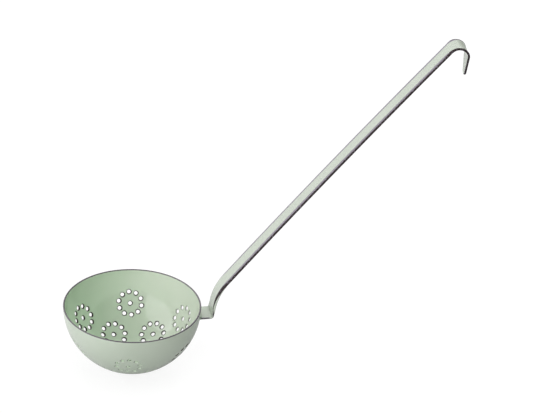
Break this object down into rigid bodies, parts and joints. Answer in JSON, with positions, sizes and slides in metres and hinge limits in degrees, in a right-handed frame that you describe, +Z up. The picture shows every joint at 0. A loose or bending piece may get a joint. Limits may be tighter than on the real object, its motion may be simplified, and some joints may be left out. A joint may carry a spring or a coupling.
{
  "type": "skimmer",
  "caption": "Ladle-shaped skimmer: a hemispherical bowl pierced with flowers of round holes, on a long strip handle bent into a hanging hook, in glossy enamel.",
  "frame": {"origin": "the point inside the hook's crest that rests on a rail or peg, on the strip's middle line", "axes": "+Z up with the bowl's rim level, +X from the bowl along the handle, +Y across the handle"},
  "size_m": [0.2887, 0.1, 0.2493],
  "materials": {
    "enamel": "glossy pale green enamel over a dark ground coat"
  },
  "bodies": {
    "root": {"bowl": "enamel", "handle": "enamel", "weld_upper": "enamel", "weld_lower": "enamel"}
  },
  "joints": []
}
